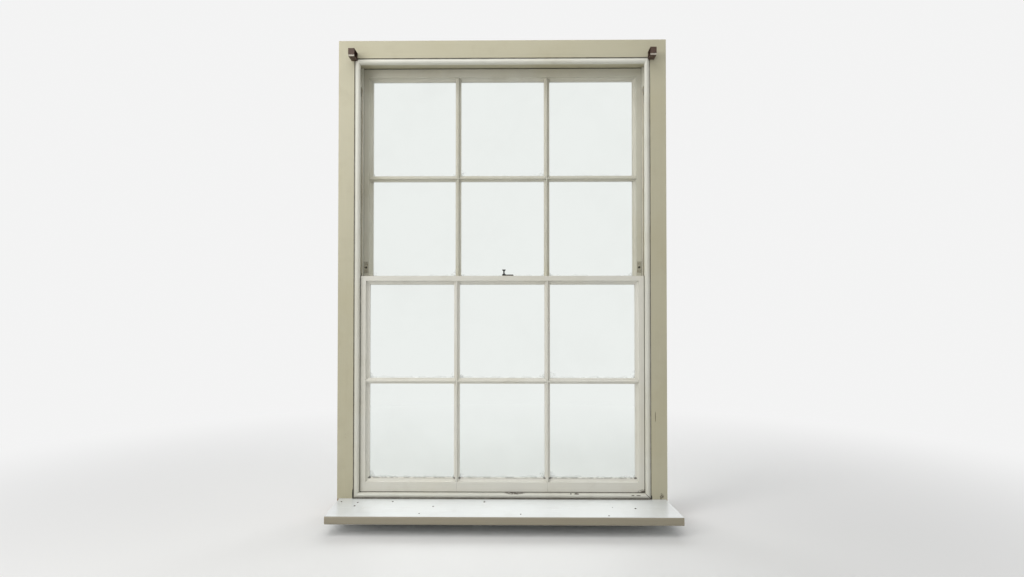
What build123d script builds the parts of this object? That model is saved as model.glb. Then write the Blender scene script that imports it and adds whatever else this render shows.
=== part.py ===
from build123d import *
import os
from dataclasses import dataclass
from math import sqrt

# A timber box-frame window with two vertically sliding sashes, each of six panes.
# Millimetres. X runs along the window, Y from the room outwards, Z up.
# The origin is on the underside of the sill, midway along it, under the parting beads.

# Cased frame
opening_half_width = 576.0  # from the middle to the face of a pulley stile
sill_top = 75.0
opening_height = 1728.0  # from the sill to the soffit of the head
head_lining_height = 69.5
stile_thickness = 20.0
cavity_width = 48.0
back_lining_thickness = 6.0
lining_thickness = 20.0
head_thickness = 24.0
sill_nose_reach = 57.0  # past the outside linings
sill_slope = 0.14  # fall for each millimetre outwards
sill_step = 6.0
drip_width = 8.0
drip_depth = 6.0
drip_inset = 10.0

# Beads
parting_width = 10.0
parting_reach = 10.0
parting_tongue = 8.0
staff_cover = 10.0  # how far a staff bead stands past a pulley stile
head_cover = 4.5  # how far the one at the head hangs below the soffit
staff_width = 22.0
sill_bead_height = 20.0
quirk_depth = 3.0

# Parting slips between the weights
slip_thickness = 6.0
slip_side_gap = 6.0
slip_bottom = 260.0

# Window board
board_thickness = 31.0
board_depth = 245.0
board_left_back = 10.0  # short of the outer edge of the frame
board_left_front = 14.0
board_right_back = 5.0
board_right_front = -13.0  # past that edge
board_nose_radius = 7.0

# Sashes
sash_thickness = 45.0
slide_gap = 1.5
seat_gap = 0.3
head_gap = 3.0
lower_sash_height = 878.5
meeting_rail_height = 33.5
meeting_gap = 0.5
bottom_rail_height = 74.0
top_rail_height = 48.0
stile_width = 44.5
moulding = 14.0
moulding_step = 2.0
glass_setback = 26.0
glass_thickness = 3.0
glass_edge_gap = 1.0
rebate_width = 8.0
putty_land = 1.0
bar_width = 22.0
bar_fillet = 4.0
sash_travel = 760.0

# Cords, pulleys and weights
pulley_drop = 103.0  # from the soffit to the axle
cord_diameter = 6.0
cord_inset = 11.0  # cord centre to pulley stile face
cord_gap = 0.3
knot_diameter = 13.0
cord_groove_width = 14.0
cord_groove_depth = 15.0
cord_groove_length = 250.0
cord_bore_diameter = 7.6
knot_drop = 40.0
knot_hole_diameter = 16.0
knot_hole_depth = 18.0
wheel_width = 12.0
wheel_rim = 1.5  # flange past the cord centre
axle_diameter = 8.0
running_gap = 0.05
cheek_gap = 0.4
cheek_thickness = 2.0
cheek_margin = 12.0
faceplate_height = 120.0
faceplate_width = 28.0
faceplate_thickness = 3.0
mortise_gap = 0.5
weight_diameter = 42.0
weight_side_gap = 3.0
lower_weight_length = 615.0
upper_weight_length = 640.0
weight_hang = 42.0  # from the pulley axis to the top of a weight at its highest
weight_neck = 25.0
weight_neck_diameter = 24.0
weight_bore_depth = 30.0
weight_pocket_height = 24.0
weight_pocket_width = 16.0

# Pocket pieces in the pulley stiles
pocket_bottom = 130.0
pocket_height = 640.0
pocket_gap = 0.4
pocket_splay = 24.0

# Screws
screw_diameter = 3.4
screw_length = 16.0
screw_head_diameter = 7.0
screw_head_height = 2.4
screw_gap = 0.1
faceplate_screw_inset = 9.0
pocket_screw_inset = 10.0  # near the feather end, so that the tip reaches the stile

# Fastener on the meeting rails
fastener_x = 7.0
fastener_inset = 22.0  # pivot to the back edge of the lower meeting rail
fastener_plate_length = 48.0
fastener_plate_width = 18.0
fastener_plate_thickness = 2.5
fastener_post_diameter = 8.0
arm_length = 38.0
arm_width = 10.0
arm_thickness = 3.5
arm_gap = 0.3
knob_height = 26.6
knob_cap_diameter = 14.0
knob_stem_diameter = 5.6
knob_cap_thickness = 3.2
knob_foot_height = 5.0
knob_rim = 1.0
keep_width = 24.0
keep_screw_spacing = 11.0
keep_depth = 14.0
keep_thickness = 1.5
keep_setback = 3.0  # from the front edge of the upper meeting rail
keep_gap = 0.7

# Sash stop plates on the upper stiles
stop_width = 16.0
stop_height = 45.0
stop_thickness = 2.0
stop_proud = 0.5
stop_rise = 36.5  # plate centre above the meeting rail
stop_hole_diameter = 7.0
stop_hole_depth = 14.0
stop_screw_spacing = 30.0

# Blind brackets at the top corners
bracket_left_inset = 63.0  # from the outer edge of the frame to the bracket's middle
bracket_right_inset = 59.0
bracket_drop = 49.0  # below the top of the frame
bracket_width = 24.0
bracket_height = 31.0
bracket_depth = 60.0
bracket_wall = 1.5
bracket_screw_spacing = 14.0
bracket_screw_offset = 6.0  # from the bracket's middle outwards, clear of the linings' joint

# Positions that follow from the sizes above
head_soffit = sill_top + opening_height
channel = sash_thickness + 2 * slide_gap
parting_half = parting_width / 2
box_half_depth = parting_half + channel
room_face = -box_half_depth - lining_thickness
outer_face = box_half_depth + lining_thickness
stile_back = opening_half_width + stile_thickness
cavity_end = stile_back + cavity_width
outer_half_width = cavity_end + back_lining_thickness
lining_edge = opening_half_width - staff_cover + staff_width
head_lining_edge = head_soffit - head_cover + staff_width
frame_top = head_lining_edge + head_lining_height
lower_face = -parting_half - slide_gap - sash_thickness
upper_face = parting_half + slide_gap
sash_half_width = opening_half_width - slide_gap
sight_half_width = sash_half_width - stile_width
flat_half_width = sight_half_width + moulding
meeting_top = sill_top + lower_sash_height
meeting_bottom = meeting_top - meeting_rail_height
sash_top = head_soffit - head_gap
bar_half = bar_width / 2
bar_x = (sight_half_width + bar_half) / 3  # the bars part the glass into three equal widths
bar_places = (-bar_x, bar_x)
pulley_height = head_soffit - pulley_drop
cord_x = opening_half_width - cord_inset
weight_x = stile_back + weight_side_gap + weight_diameter / 2
cord_radius = (weight_x - cord_x) / 2
wheel_x = cord_x + cord_radius
wheel_radius = cord_radius + wheel_rim
case_half_height = max(wheel_radius, cord_radius + cord_diameter / 2) + cheek_gap
knot_radius = knot_diameter / 2
case_half_width = wheel_width / 2 + cheek_gap + cheek_thickness
lower_run_y = lower_face + sash_thickness / 2
upper_run_y = upper_face + sash_thickness / 2
fastener_y = parting_half - fastener_inset
weight_highest = pulley_height - weight_hang
arm_bottom = meeting_top + fastener_plate_thickness + arm_gap
bracket_left_x = -outer_half_width + bracket_left_inset
bracket_right_x = outer_half_width - bracket_right_inset
bracket_bottom = frame_top - bracket_drop - bracket_height
reach = frame_top  # longer than any cut is deep


@dataclass
class Sash:
    """Levels of one sash, and whether its lower rail carries the moulding."""

    face: float
    bottom: float
    sight_bottom: float
    sight_top: float
    top: float
    lower_moulding: float

    @property
    def outside(self):
        return self.face + sash_thickness

    @property
    def run_y(self):
        return self.face + sash_thickness / 2

    @property
    def cross_level(self):
        return (self.sight_bottom + self.sight_top) / 2


lower_sash = Sash(
    lower_face,
    sill_top,
    sill_top + bottom_rail_height,
    meeting_bottom,
    meeting_top,
    moulding,
)
upper_sash = Sash(
    upper_face,
    meeting_bottom,
    meeting_top,
    sash_top - top_rail_height,
    sash_top,
    0.0,
)


def block(x, y, z):
    """Rectangular block between pairs of limits."""
    size = (x[1] - x[0], y[1] - y[0], z[1] - z[0])
    middle = ((x[0] + x[1]) / 2, (y[0] + y[1]) / 2, (z[0] + z[1]) / 2)
    return Pos(*middle) * Box(*size)


def elevation(points, y):
    """Outline in X and Z, given thickness between two limits in Y."""
    face = make_face(Polyline(*points, close=True))
    placed = Plane(origin=(0, y[0], 0), x_dir=(1, 0, 0), z_dir=(0, -1, 0)) * face
    return extrude(placed, amount=y[1] - y[0], dir=(0, 1, 0))


def side_section(points, half_length):
    """Outline in Y and Z, given length along X."""
    face = make_face(Polyline(*points, close=True))
    return extrude(Plane.YZ * face, amount=half_length, both=True)


def run_along(section, origin, across, along, length):
    """Member with a section drawn across and into the sash, run along one direction."""
    plane = Plane(origin=origin, x_dir=across, z_dir=Vector(across).cross(Vector(0, 1, 0)))
    return extrude(plane * section, amount=length, dir=along)


def mirrored(part):
    return mirror(part, about=Plane.YZ)


def sill():
    nose = outer_face + sill_nose_reach
    seat_front = -box_half_depth
    step_y = -parting_half
    step_top = sill_top - sill_slope * (step_y - seat_front)
    nose_top = step_top - sill_step - sill_slope * (nose - step_y)
    drip = nose - drip_inset
    outline = (
        (room_face, 0),
        (drip - drip_width, 0),
        (drip - drip_width, drip_depth),
        (drip, drip_depth),
        (drip, 0),
        (nose, 0),
        (nose, nose_top),
        (step_y, step_top - sill_step),
        (step_y, step_top),
        (seat_front, sill_top),
        (room_face, sill_top),
    )
    return side_section(outline, outer_half_width)


def head():
    return block(
        (-outer_half_width, outer_half_width),
        (-box_half_depth, box_half_depth),
        (head_soffit, head_soffit + head_thickness),
    )


def screw(tip):
    """Countersunk screw pointing along +Z with its head at the origin, or its hole if tip is larger."""
    shank = Cylinder(
        screw_diameter / 2 + tip,
        screw_length + tip,
        align=(Align.CENTER, Align.CENTER, Align.MIN),
    )
    top = Cone(
        screw_head_diameter / 2 + tip,
        screw_diameter / 2 + tip,
        screw_head_height + tip,
        align=(Align.CENTER, Align.CENTER, Align.MIN),
    )
    return shank + top


def placed(places, part):
    """Copies of a part at a list of locations, as separate solids."""
    return [place * part for place in places]


def frame_screw_places():
    """Right-hand half of the screws in the pulley plates and pocket pieces."""
    outward = Rotation(0, 90, 0)
    half = faceplate_height / 2 - faceplate_screw_inset
    places = []
    for y in (lower_run_y, upper_run_y):
        for z in (pulley_height - half, pulley_height + half):
            places.append(Pos(opening_half_width, y, z) * outward)
    pocket_top = pocket_bottom + pocket_height
    for z in (pocket_bottom + pocket_screw_inset, pocket_top - pocket_screw_inset):
        places.append(Pos(opening_half_width, lower_run_y, z) * outward)
    return places


def pocket_outline(gap):
    """Pocket in X and Z: longer at the face than at the back, so that it cannot fall in."""
    low = pocket_bottom + gap
    high = pocket_bottom + pocket_height - gap
    return (
        (opening_half_width, low),
        (opening_half_width, high),
        (stile_back, high - pocket_splay),
        (stile_back, low + pocket_splay),
    )


def pulley_stile():
    board = block(
        (opening_half_width, stile_back),
        (-box_half_depth, box_half_depth),
        (0, head_soffit),
    )
    board -= sill()
    board -= block(
        (opening_half_width, opening_half_width + parting_tongue),
        (-parting_half, parting_half),
        (0, head_soffit),
    )
    board -= elevation(pocket_outline(0), (-box_half_depth, -parting_half))
    slot_half = case_half_height + mortise_gap
    cheek_half = case_half_width + mortise_gap
    for y in (lower_run_y, upper_run_y):
        board -= block(
            (opening_half_width, stile_back),
            (y - cheek_half, y + cheek_half),
            (pulley_height - slot_half, pulley_height + slot_half),
        )
        board -= block(
            (opening_half_width, opening_half_width + faceplate_thickness),
            (y - faceplate_width / 2, y + faceplate_width / 2),
            (pulley_height - faceplate_height / 2, pulley_height + faceplate_height / 2),
        )
    return board - placed(frame_screw_places(), screw(screw_gap))


def pocket_piece():
    piece = elevation(pocket_outline(pocket_gap), (-box_half_depth, -parting_half - pocket_gap))
    return piece - placed(frame_screw_places(), screw(screw_gap))


def inside_lining():
    return block(
        (lining_edge, outer_half_width),
        (room_face, -box_half_depth),
        (sill_top, frame_top),
    )


def inside_lining_head():
    return block(
        (-lining_edge, lining_edge),
        (room_face, -box_half_depth),
        (head_lining_edge, frame_top),
    )


def outside_lining():
    board = block(
        (opening_half_width - parting_reach, outer_half_width),
        (box_half_depth, outer_face),
        (0, frame_top),
    )
    return board - sill()


def outside_lining_head():
    half = opening_half_width - parting_reach
    return block(
        (-half, half),
        (box_half_depth, outer_face),
        (head_soffit - parting_reach, frame_top),
    )


def back_lining():
    board = block(
        (cavity_end, outer_half_width),
        (-box_half_depth, box_half_depth),
        (0, head_soffit),
    )
    return board - sill()


def parting_slip():
    return block(
        (stile_back + slip_side_gap, cavity_end - slip_side_gap),
        (-slip_thickness / 2, slip_thickness / 2),
        (slip_bottom, head_soffit),
    )


def parting_bead():
    bead = block(
        (opening_half_width - parting_reach, opening_half_width + parting_tongue),
        (-parting_half, parting_half),
        (0, head_soffit),
    )
    return bead - sill()


def staff_section(width):
    """Round-nosed bead with a sunk quirk along the edge that meets the lining."""
    radius = (width - quirk_depth) / 2
    middle = width - radius
    start = middle - sqrt(radius**2 - (radius - quirk_depth) ** 2)
    nose = ThreePointArc(
        (start, quirk_depth),
        (middle, 0),
        (width, radius),
    )
    rest = Polyline(
        (width, radius),
        (width, lining_thickness),
        (0, lining_thickness),
        (0, quirk_depth),
        (start, quirk_depth),
    )
    return make_face(nose + rest)


def staff_beads():
    """Beads round the room side of the lower sash, mitred at the four corners."""
    inner_x = lining_edge - staff_width
    inner_top = head_lining_edge - staff_width
    inner_bottom = sill_top + sill_bead_height
    depth = (room_face, -box_half_depth)
    height = head_lining_edge - sill_top
    side = run_along(
        staff_section(staff_width),
        (lining_edge, room_face, sill_top),
        (-1, 0, 0),
        (0, 0, 1),
        height,
    )
    side_outline = (
        (lining_edge, sill_top),
        (lining_edge, head_lining_edge),
        (inner_x, inner_top),
        (inner_x, inner_bottom),
    )
    top = run_along(
        staff_section(staff_width),
        (-lining_edge, room_face, head_lining_edge),
        (0, 0, -1),
        (1, 0, 0),
        2 * lining_edge,
    )
    top_outline = (
        (-lining_edge, head_lining_edge),
        (lining_edge, head_lining_edge),
        (inner_x, inner_top),
        (-inner_x, inner_top),
    )
    bottom = run_along(
        staff_section(sill_bead_height),
        (-lining_edge, room_face, sill_top),
        (0, 0, 1),
        (1, 0, 0),
        2 * lining_edge,
    )
    bottom_outline = (
        (-lining_edge, sill_top),
        (lining_edge, sill_top),
        (inner_x, inner_bottom),
        (-inner_x, inner_bottom),
    )
    right = side & elevation(side_outline, depth)
    return {
        "staff_bead_right": right,
        "staff_bead_left": mirrored(right),
        "staff_bead_head": top & elevation(top_outline, depth),
        "staff_bead_sill": bottom & elevation(bottom_outline, depth),
    }


def window_board():
    """Board with a rounded nose, its ends cut to the splay of the wall."""
    outline = Polyline(
        (-outer_half_width + board_left_back, room_face),
        (outer_half_width - board_right_back, room_face),
        (outer_half_width - board_right_front, room_face - board_depth),
        (-outer_half_width + board_left_front, room_face - board_depth),
        close=True,
    )
    board = Pos(0, 0, sill_top) * extrude(make_face(outline), amount=-board_thickness)
    front = board.faces().sort_by(Axis.Y)[0]
    long_edges = front.edges().filter_by(Axis.X)
    return fillet(long_edges, board_nose_radius)


def bracket(middle_x, open_side):
    """Folded box bracket, open towards the middle of the window, with two screw holes."""
    half = bracket_width / 2
    x = (middle_x - half, middle_x + half)
    y = (room_face - bracket_depth, room_face)
    z = (bracket_bottom, bracket_bottom + bracket_height)
    wall = bracket_wall
    hollow_x = (x[0] + wall, x[1]) if open_side > 0 else (x[0], x[1] - wall)
    box = block(x, y, z)
    box -= block(hollow_x, (y[0] + wall, y[1] - wall), (z[0] + wall, z[1] - wall))
    return box - placed(bracket_screw_places(middle_x), screw(screw_gap))


def bracket_screw_places(middle_x):
    outwards = 1 if middle_x > 0 else -1
    x = middle_x + outwards * bracket_screw_offset
    into_lining = Rotation(-90, 0, 0)
    back = room_face - bracket_wall
    middle_z = bracket_bottom + bracket_height / 2
    half = bracket_screw_spacing / 2
    return [Pos(x, back, z) * into_lining for z in (middle_z - half, middle_z + half)]


def pulley_case(y):
    """Faceplate, two cheeks and the riveted axle of one axle pulley."""
    plate = block(
        (opening_half_width, opening_half_width + faceplate_thickness),
        (y - faceplate_width / 2, y + faceplate_width / 2),
        (pulley_height - faceplate_height / 2, pulley_height + faceplate_height / 2),
    )
    inner = wheel_width / 2 + cheek_gap
    plate -= block(
        (opening_half_width, opening_half_width + faceplate_thickness),
        (y - inner, y + inner),
        (pulley_height - case_half_height, pulley_height + case_half_height),
    )
    case = plate - placed(frame_screw_places(), screw(screw_gap))
    for side in (-1, 1):
        near = y + side * inner
        far = y + side * case_half_width
        case += block(
            (opening_half_width + faceplate_thickness, wheel_x + cheek_margin),
            (min(near, far), max(near, far)),
            (pulley_height - case_half_height, pulley_height + case_half_height),
        )
    axle = Cylinder(axle_diameter / 2, 2 * case_half_width)
    return case + Pos(wheel_x, y, pulley_height) * Rotation(90, 0, 0) * axle


def pulley_wheel(y):
    """Grooved wheel with sunk webs, turned about its axle."""
    half = wheel_width / 2
    bore = axle_diameter / 2 + running_gap
    seat = cord_diameter / 2 + cord_gap
    outline = Polyline(
        (cord_radius, seat),
        (wheel_radius, seat),
        (wheel_radius, half),
        (bore, half),
        (bore, -half),
        (wheel_radius, -half),
        (wheel_radius, -seat),
        (cord_radius, -seat),
    )
    groove = ThreePointArc((cord_radius, -seat), (cord_radius - seat, 0), (cord_radius, seat))
    wheel = revolve(make_face(outline + groove), Axis.Y)
    return Pos(wheel_x, y, pulley_height) * wheel


def sash_weight(y, top, length):
    """Cast cylinder with a tapered neck, a bore for the cord and a side pocket for its knot."""
    radius = weight_diameter / 2
    up = (Align.CENTER, Align.CENTER, Align.MIN)
    body = Cylinder(radius, length - weight_neck, align=up)
    neck = Cone(radius, weight_neck_diameter / 2, weight_neck, align=up)
    weight = body + Pos(0, 0, length - weight_neck) * neck
    bore = Cylinder(cord_bore_diameter / 2, weight_bore_depth, align=up)
    weight -= Pos(0, 0, length - weight_bore_depth) * bore
    pocket_top = length - weight_bore_depth
    weight -= block(
        (-weight_pocket_width / 2, radius),
        (-weight_pocket_width / 2, weight_pocket_width / 2),
        (pocket_top - weight_pocket_height, pocket_top),
    )
    return Pos(weight_x, y, top - length) * weight


def knot_level(sash):
    """Level of the knot in the edge of a sash stile."""
    return sash.top - cord_groove_length - knot_drop


def sash_cord(sash, top):
    """Cord from its knot in the stile, over the wheel and down to its knot in the weight."""
    start = Vector(cord_x, sash.run_y, knot_level(sash))
    end_level = top - weight_bore_depth - knot_radius - cord_gap
    end = Vector(weight_x, sash.run_y, end_level)
    rise = Line(start, (cord_x, sash.run_y, pulley_height))
    over = ThreePointArc(
        (cord_x, sash.run_y, pulley_height),
        (wheel_x, sash.run_y, pulley_height + cord_radius),
        (weight_x, sash.run_y, pulley_height),
    )
    fall = Line((weight_x, sash.run_y, pulley_height), end)
    section = Plane(origin=start, z_dir=(0, 0, 1)) * Circle(cord_diameter / 2)
    cord = sweep(section, path=rise + over + fall)
    knot = Sphere(knot_radius)
    return cord + Pos(*start) * knot + Pos(*end) * knot


def moulding_line():
    """Quarter-round moulding from the glass forwards to the edge of the flat."""
    depth = moulding_step + moulding
    wall = Line((0, glass_setback), (0, depth))
    arc = RadiusArc((0, depth), (moulding, moulding_step), moulding)
    return wall + arc + Line((moulding, moulding_step), (moulding, 0))


def moulded_section(width):
    """Section across a stile or rail: from the sight line outwards, from the room face inwards."""
    rest = Polyline(
        (moulding, 0),
        (width, 0),
        (width, sash_thickness),
        (rebate_width, sash_thickness),
        (rebate_width, glass_setback),
        (0, glass_setback),
    )
    return make_face(moulding_line() + rest)


def bar_section():
    """Section of a glazing bar: a fillet between two mouldings, and a web behind the glass."""
    fillet_half = bar_fillet / 2
    swell = bar_half - fillet_half
    web = bar_half - rebate_width
    depth = moulding_step + swell
    left = RadiusArc((-bar_half, depth), (-fillet_half, moulding_step), swell)
    front = Polyline(
        (-fillet_half, moulding_step),
        (-fillet_half, 0),
        (fillet_half, 0),
        (fillet_half, moulding_step),
    )
    right = RadiusArc((fillet_half, moulding_step), (bar_half, depth), swell)
    back = Polyline(
        (bar_half, depth),
        (bar_half, glass_setback),
        (web, glass_setback),
        (web, sash_thickness),
        (-web, sash_thickness),
        (-web, glass_setback),
        (-bar_half, glass_setback),
        (-bar_half, depth),
    )
    return make_face(left + front + right + back)


def stile_space(sash):
    """Room that the right-hand stile takes, with its moulding mitred at the rails."""
    outline = (
        (flat_half_width, sash.bottom - reach),
        (flat_half_width, sash.sight_bottom - sash.lower_moulding),
        (sight_half_width, sash.sight_bottom),
        (sight_half_width, sash.sight_top),
        (flat_half_width, sash.sight_top + moulding),
        (flat_half_width, sash.top + reach),
        (sash_half_width + reach, sash.top + reach),
        (sash_half_width + reach, sash.bottom - reach),
    )
    return elevation(outline, (sash.face, sash.outside))


def stile(sash):
    """Right-hand stile with the cord groove and the knot hole in its edge."""
    body = run_along(
        moulded_section(stile_width),
        (sight_half_width, sash.face, sash.bottom),
        (1, 0, 0),
        (0, 0, 1),
        sash.top - sash.bottom,
    )
    body &= stile_space(sash)
    groove_end = sash.top - cord_groove_length
    body -= block(
        (sash_half_width - cord_groove_depth, sash_half_width),
        (sash.run_y - cord_groove_width / 2, sash.run_y + cord_groove_width / 2),
        (groove_end, sash.top),
    )
    up = (Align.CENTER, Align.CENTER, Align.MIN)
    bore = Cylinder(cord_bore_diameter / 2, knot_drop, align=up)
    body -= Pos(cord_x, sash.run_y, knot_level(sash)) * bore
    hole = Cylinder(knot_hole_diameter / 2, knot_hole_depth, align=up)
    edge = Pos(sash_half_width, sash.run_y, knot_level(sash)) * Rotation(0, -90, 0)
    return body - edge * hole


def rail(sash, section, sight, across, half_length):
    """Rail run between the stiles and cut to them."""
    body = run_along(
        section,
        (-half_length, sash.face, sight),
        (0, 0, across),
        (1, 0, 0),
        2 * half_length,
    )
    space = stile_space(sash)
    return body - space - mirrored(space)


def bottom_rail():
    """Bottom rail of the lower sash, bevelled underneath to the fall of the sill."""
    height = bottom_rail_height + sill_slope * channel
    body = rail(lower_sash, moulded_section(height), lower_sash.sight_bottom, -1, flat_half_width)
    return body - sill_clearance()


def sill_clearance():
    """Everything below the bevelled underside of the lower sash."""
    front = -box_half_depth
    back = -parting_half
    fall = sill_slope * (back - front)
    outline = (
        (front, sill_top + seat_gap),
        (back, sill_top + seat_gap - fall),
        (back, -reach),
        (front, -reach),
    )
    return side_section(outline, outer_half_width)


def lower_meeting_section():
    """Meeting rail of the lower sash: bevelled forward over the upper one."""
    top_depth = parting_half - lower_face
    bottom_depth = -parting_half - lower_face
    lean = (top_depth - bottom_depth) / meeting_rail_height
    rest = Polyline(
        (moulding, 0),
        (meeting_rail_height, 0),
        (meeting_rail_height, top_depth),
        (rebate_width, bottom_depth + lean * rebate_width),
        (rebate_width, glass_setback),
        (0, glass_setback),
    )
    return make_face(moulding_line() + rest)


def upper_meeting_section():
    """Meeting rail of the upper sash: square on top, bevelled under the lower one."""
    top_depth = parting_half - upper_face + meeting_gap
    bottom_depth = -parting_half - upper_face + meeting_gap
    outline = Polyline(
        (0, top_depth),
        (meeting_rail_height, bottom_depth),
        (meeting_rail_height, sash_thickness),
        (rebate_width, sash_thickness),
        (rebate_width, glass_setback),
        (0, glass_setback),
        close=True,
    )
    return make_face(outline)


def square_end(x, level):
    """Lower and upper corner of a cross bar's end at a stile."""
    return [(x, level - bar_half), (x, level + bar_half)]


def pointed_end(x, level, side):
    """Corners of a cross bar's end at an upright bar, on its right (1) or its left (-1)."""
    narrow = bar_fillet / 2
    steps = ((bar_half, -bar_half), (narrow, -narrow), (narrow, narrow), (bar_half, bar_half))
    return [(x + side * across, level + up) for across, up in steps]


def cross_bars(sash, stiles):
    """Three short bars across a sash, pointed where they meet the upright bars."""
    level = sash.cross_level
    full = run_along(
        bar_section(),
        (-flat_half_width, sash.face, level),
        (0, 0, 1),
        (1, 0, 0),
        2 * flat_half_width,
    )
    for side in stiles:
        full -= side
    starts = [square_end(-flat_half_width, level)] + [pointed_end(x, level, 1) for x in bar_places]
    ends = [pointed_end(x, level, -1) for x in bar_places] + [square_end(flat_half_width, level)]
    depth = (sash.face, sash.outside)
    return [full & elevation(start + end[::-1], depth) for start, end in zip(starts, ends)]


def upright_bar(sash, x, rails, crossings):
    """Upright bar, scribed to the rails and halved round the cross bars."""
    low = sash.sight_bottom - moulding
    high = sash.sight_top + moulding
    body = run_along(bar_section(), (x, sash.face, low), (1, 0, 0), (0, 0, 1), high - low)
    for other in list(rails) + list(crossings):
        body -= other
    return body


def pane_openings(sash):
    """Limits in X and Z of the six visible panes of a sash."""
    lefts = [-sight_half_width] + [x + bar_half for x in bar_places]
    rights = [x - bar_half for x in bar_places] + [sight_half_width]
    lows = (sash.sight_bottom, sash.cross_level + bar_half)
    highs = (sash.cross_level - bar_half, sash.sight_top)
    return [(column, row) for column in zip(lefts, rights) for row in zip(lows, highs)]


def widened(limits, margin):
    return (limits[0] - margin, limits[1] + margin)


def pane(sash, opening):
    lap = rebate_width - glass_edge_gap
    depth = (sash.face + glass_setback, sash.face + glass_setback + glass_thickness)
    return block(widened(opening[0], lap), depth, widened(opening[1], lap))


def putty(sash, opening):
    """Sloped putty round the outside of one pane."""
    start = sash.face + glass_setback + glass_thickness
    ring = block(
        widened(opening[0], rebate_width),
        (start, sash.outside),
        widened(opening[1], rebate_width),
    )
    slope = rebate_width - putty_land
    sections = []
    for y, margin in ((start, 0), (sash.outside, slope)):
        x = widened(opening[0], margin)
        z = widened(opening[1], margin)
        plane = Plane(
            origin=((x[0] + x[1]) / 2, y, (z[0] + z[1]) / 2),
            x_dir=(1, 0, 0),
            z_dir=(0, -1, 0),
        )
        sections.append(plane * Rectangle(x[1] - x[0], z[1] - z[0]))
    return ring - loft(sections)


def fastener_screw_places():
    """Two screws in the fastener's plate, clear of its pivot."""
    down = Rotation(180, 0, 0)
    top = meeting_top + fastener_plate_thickness
    start = fastener_plate_start()
    near = start + fastener_plate_length - screw_head_diameter
    far = (near + fastener_x + knob_cap_diameter / 2) / 2
    return [Pos(x, fastener_y, top) * down for x in (far, near)]


def fastener_plate_start():
    return fastener_x - fastener_plate_width / 2


def fastener_base():
    """Plate on the lower meeting rail with the pivot post of the arm."""
    half = fastener_plate_width / 2
    start = fastener_plate_start()
    plate = block(
        (start, start + fastener_plate_length),
        (fastener_y - half, fastener_y + half),
        (meeting_top, meeting_top + fastener_plate_thickness),
    )
    plate = fillet(plate.edges().filter_by(Axis.Z), half / 2)
    post = Cylinder(
        fastener_post_diameter / 2,
        fastener_plate_thickness + arm_gap + arm_thickness,
        align=(Align.CENTER, Align.CENTER, Align.MIN),
    )
    plate += Pos(fastener_x, fastener_y, meeting_top) * post
    return plate - placed(fastener_screw_places(), screw(screw_gap))


def fastener_arm():
    """Arm that turns about the post, with a waisted knob standing over the pivot."""
    up = (Align.CENTER, Align.CENTER, Align.MIN)
    eye = Cylinder(knob_cap_diameter / 2, arm_thickness, align=up)
    tip = Cylinder(arm_width / 2, arm_thickness, align=up)
    blade = block((0, arm_length - arm_width / 2), (-arm_width / 2, arm_width / 2), (0, arm_thickness))
    arm = eye + blade + Pos(arm_length - arm_width / 2, 0, 0) * tip
    arm -= Cylinder(fastener_post_diameter / 2 + running_gap, arm_thickness, align=up)
    foot_start = arm_thickness + arm_gap
    stem = knob_stem_diameter / 2
    cap = knob_cap_diameter / 2
    top = knob_height - fastener_plate_thickness - arm_gap
    cap_start = top - knob_cap_thickness
    wall = fastener_post_diameter / 2 + running_gap
    half_profile = Polyline(
        (0, foot_start),
        (wall, foot_start),
        (wall, arm_thickness),
        (cap, arm_thickness),
        (cap, arm_thickness + knob_rim),
        (stem, arm_thickness + knob_foot_height),
        (stem, cap_start - stem),
        (cap, cap_start),
        (cap, top),
        (0, top),
        close=True,
    )
    knob = revolve(Plane.XZ * make_face(half_profile), Axis.Z)
    return Pos(fastener_x, fastener_y, arm_bottom) * (arm + knob)


def keep_screw_places():
    down = Rotation(180, 0, 0)
    top = meeting_top + keep_thickness
    y = upper_face + keep_setback + keep_depth / 2
    middle = fastener_x + (arm_width + keep_width) / 2
    half = keep_screw_spacing / 2
    return [Pos(x, y, top) * down for x in (middle - half, middle + half)]


def fastener_keep():
    """Clip on the upper meeting rail, open on the side that the arm swings in from."""
    y = (upper_face + keep_setback, upper_face + keep_setback + keep_depth)
    stop = fastener_x - arm_width / 2 - keep_gap
    top = arm_bottom + arm_thickness + keep_gap
    plate = block(
        (stop - keep_thickness, fastener_x + arm_width / 2 + keep_width),
        y,
        (meeting_top, meeting_top + keep_thickness),
    )
    wall = block((stop - keep_thickness, stop), y, (meeting_top, top + keep_thickness))
    roof = block((stop - keep_thickness, fastener_x + arm_width / 2), y, (top, top + keep_thickness))
    return plate + wall + roof - placed(keep_screw_places(), screw(screw_gap))


def stop_middle():
    """X of the right-hand stop plate: midway across the flat of the stile."""
    return (flat_half_width + opening_half_width - parting_reach) / 2


def stop_screw_places():
    into_stile = Rotation(-90, 0, 0)
    face = upper_face - stop_proud
    level = meeting_top + stop_rise
    half = stop_screw_spacing / 2
    return [Pos(stop_middle(), face, z) * into_stile for z in (level - half, level + half)]


def stop_recess(margin):
    level = meeting_top + stop_rise
    return block(
        widened((stop_middle() - stop_width / 2, stop_middle() + stop_width / 2), margin),
        (upper_face - stop_proud, upper_face - stop_proud + stop_thickness),
        widened((level - stop_height / 2, level + stop_height / 2), margin),
    )


def stop_hole():
    """Threaded hole for the stop bolt, at its minor diameter."""
    up = (Align.CENTER, Align.CENTER, Align.MIN)
    hole = Cylinder(stop_hole_diameter / 2, stop_hole_depth, align=up)
    place = Pos(stop_middle(), upper_face - stop_proud, meeting_top + stop_rise)
    return place * Rotation(-90, 0, 0) * hole


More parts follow.
